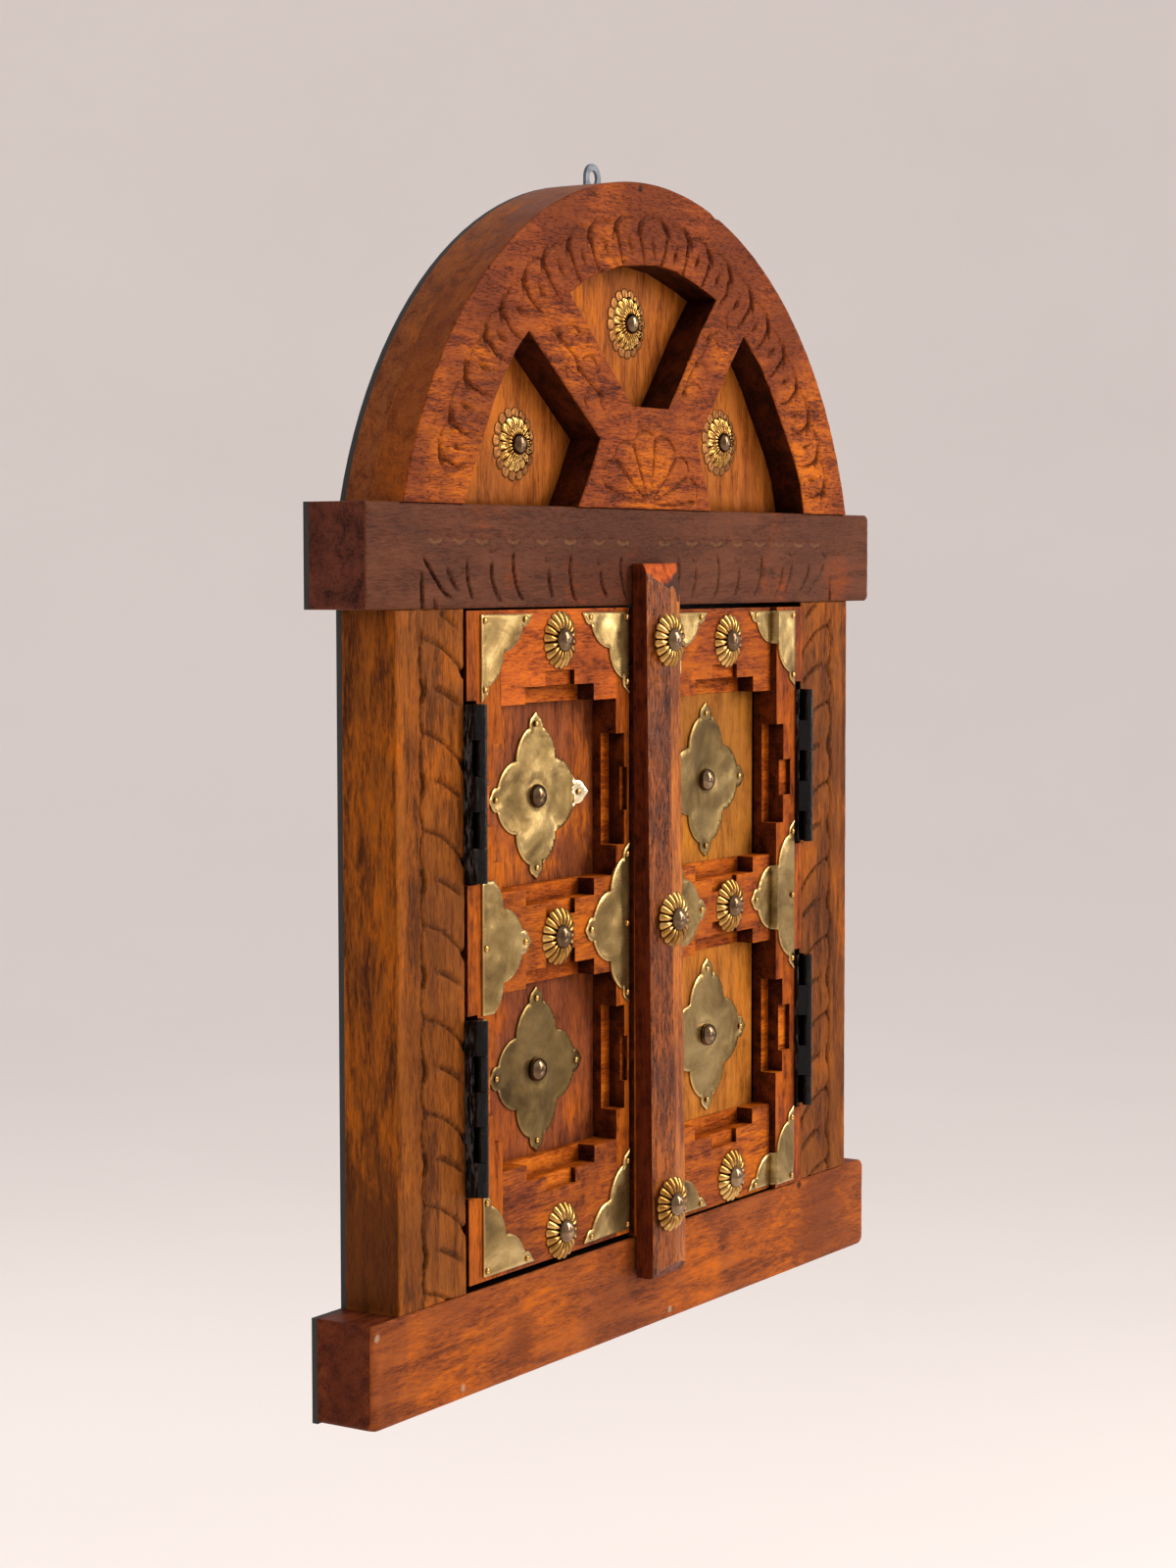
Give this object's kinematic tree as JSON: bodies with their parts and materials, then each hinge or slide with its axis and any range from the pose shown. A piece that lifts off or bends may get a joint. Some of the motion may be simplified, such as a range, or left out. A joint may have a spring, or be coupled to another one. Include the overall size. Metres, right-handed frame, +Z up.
{
  "type": "jharokha window",
  "caption": "Carved wooden wall window with an arched fretwork head and two hinged leaves with brass mounts, opening to a shallow niche.",
  "frame": {"origin": "on the flat back, at the middle of the line where the arched head meets the lintel", "axes": "+X to the right seen from the front, +Y into the wall, +Z up"},
  "size_m": [0.416, 0.0475, 0.5188],
  "materials": {
    "black_sheet": "matt",
    "zinc_steel": "satin",
    "screw_steel": "satin",
    "black_hinge": "glossy black",
    "bright_brass": "polished",
    "bronze_nail": "polished",
    "aged_brass": "tarnished",
    "tan_wood": "satin varnish",
    "dark_wood": "satin varnish",
    "glossy_wood": "glossy varnish",
    "red_wood": "satin varnish"
  },
  "bodies": {
    "frame": {"arch_back_layer": "tan_wood", "arch_dome_nails": "bronze_nail", "arch_fretwork": "red_wood", "arch_rosettes": "bright_brass", "back_sheet": "black_sheet", "frame_dowels": "red_wood", "hinge_post_screws": "screw_steel", "left_lower_hinge_pin": "black_hinge", "left_lower_hinge_post_plate": "black_hinge", "left_post": "red_wood", "left_upper_hinge_pin": "black_hinge", "left_upper_hinge_post_plate": "black_hinge", "lintel": "dark_wood", "right_lower_hinge_pin": "black_hinge", "right_lower_hinge_post_plate": "black_hinge", "right_post": "red_wood", "right_upper_hinge_pin": "black_hinge", "right_upper_hinge_post_plate": "black_hinge", "sill": "dark_wood", "wall_hanger": "zinc_steel", "wall_hanger_screws": "zinc_steel"},
    "left_leaf": {"left_hinge_leaf_screws": "screw_steel", "left_leaf_bottom_rail": "red_wood", "left_leaf_corner_plates": "aged_brass", "left_leaf_dome_nails": "bronze_nail", "left_leaf_hinge_side_half_plate": "aged_brass", "left_leaf_lower_panel": "tan_wood", "left_leaf_lower_quatrefoil": "aged_brass", "left_leaf_meeting_side_half_plate": "aged_brass", "left_leaf_meeting_stile": "red_wood", "left_leaf_middle_rail": "red_wood", "left_leaf_outer_stile": "red_wood", "left_leaf_plate_pins": "aged_brass", "left_leaf_rosettes": "bright_brass", "left_leaf_top_rail": "red_wood", "left_leaf_upper_panel": "tan_wood", "left_leaf_upper_quatrefoil": "aged_brass", "left_lower_hinge_leaf_plate": "black_hinge", "left_upper_hinge_leaf_plate": "black_hinge"},
    "right_leaf": {"cover_strip_rosettes": "bright_brass", "right_hinge_leaf_screws": "screw_steel", "right_leaf_bottom_rail": "red_wood", "right_leaf_corner_plates": "aged_brass", "right_leaf_cover_strip": "glossy_wood", "right_leaf_dome_nails": "bronze_nail", "right_leaf_hinge_side_half_plate": "aged_brass", "right_leaf_lower_panel": "tan_wood", "right_leaf_lower_quatrefoil": "aged_brass", "right_leaf_meeting_side_half_plate": "aged_brass", "right_leaf_meeting_stile": "red_wood", "right_leaf_middle_rail": "red_wood", "right_leaf_outer_stile": "red_wood", "right_leaf_plate_pins": "aged_brass", "right_leaf_rosettes": "bright_brass", "right_leaf_top_rail": "red_wood", "right_leaf_upper_panel": "tan_wood", "right_leaf_upper_quatrefoil": "aged_brass", "right_lower_hinge_leaf_plate": "black_hinge", "right_upper_hinge_leaf_plate": "black_hinge"}
  },
  "joints": [
    {"name": "left_leaf_hinge", "type": "hinge", "parent": "frame", "child": "left_leaf", "pos_m": [-0.1374, -0.0355, -0.182], "axis": [0, 0, -1], "range_deg": [0, 170]},
    {"name": "right_leaf_hinge", "type": "hinge", "parent": "frame", "child": "right_leaf", "pos_m": [0.1374, -0.0355, -0.1845], "axis": [0, 0, 1], "range_deg": [0, 170]}
  ]
}
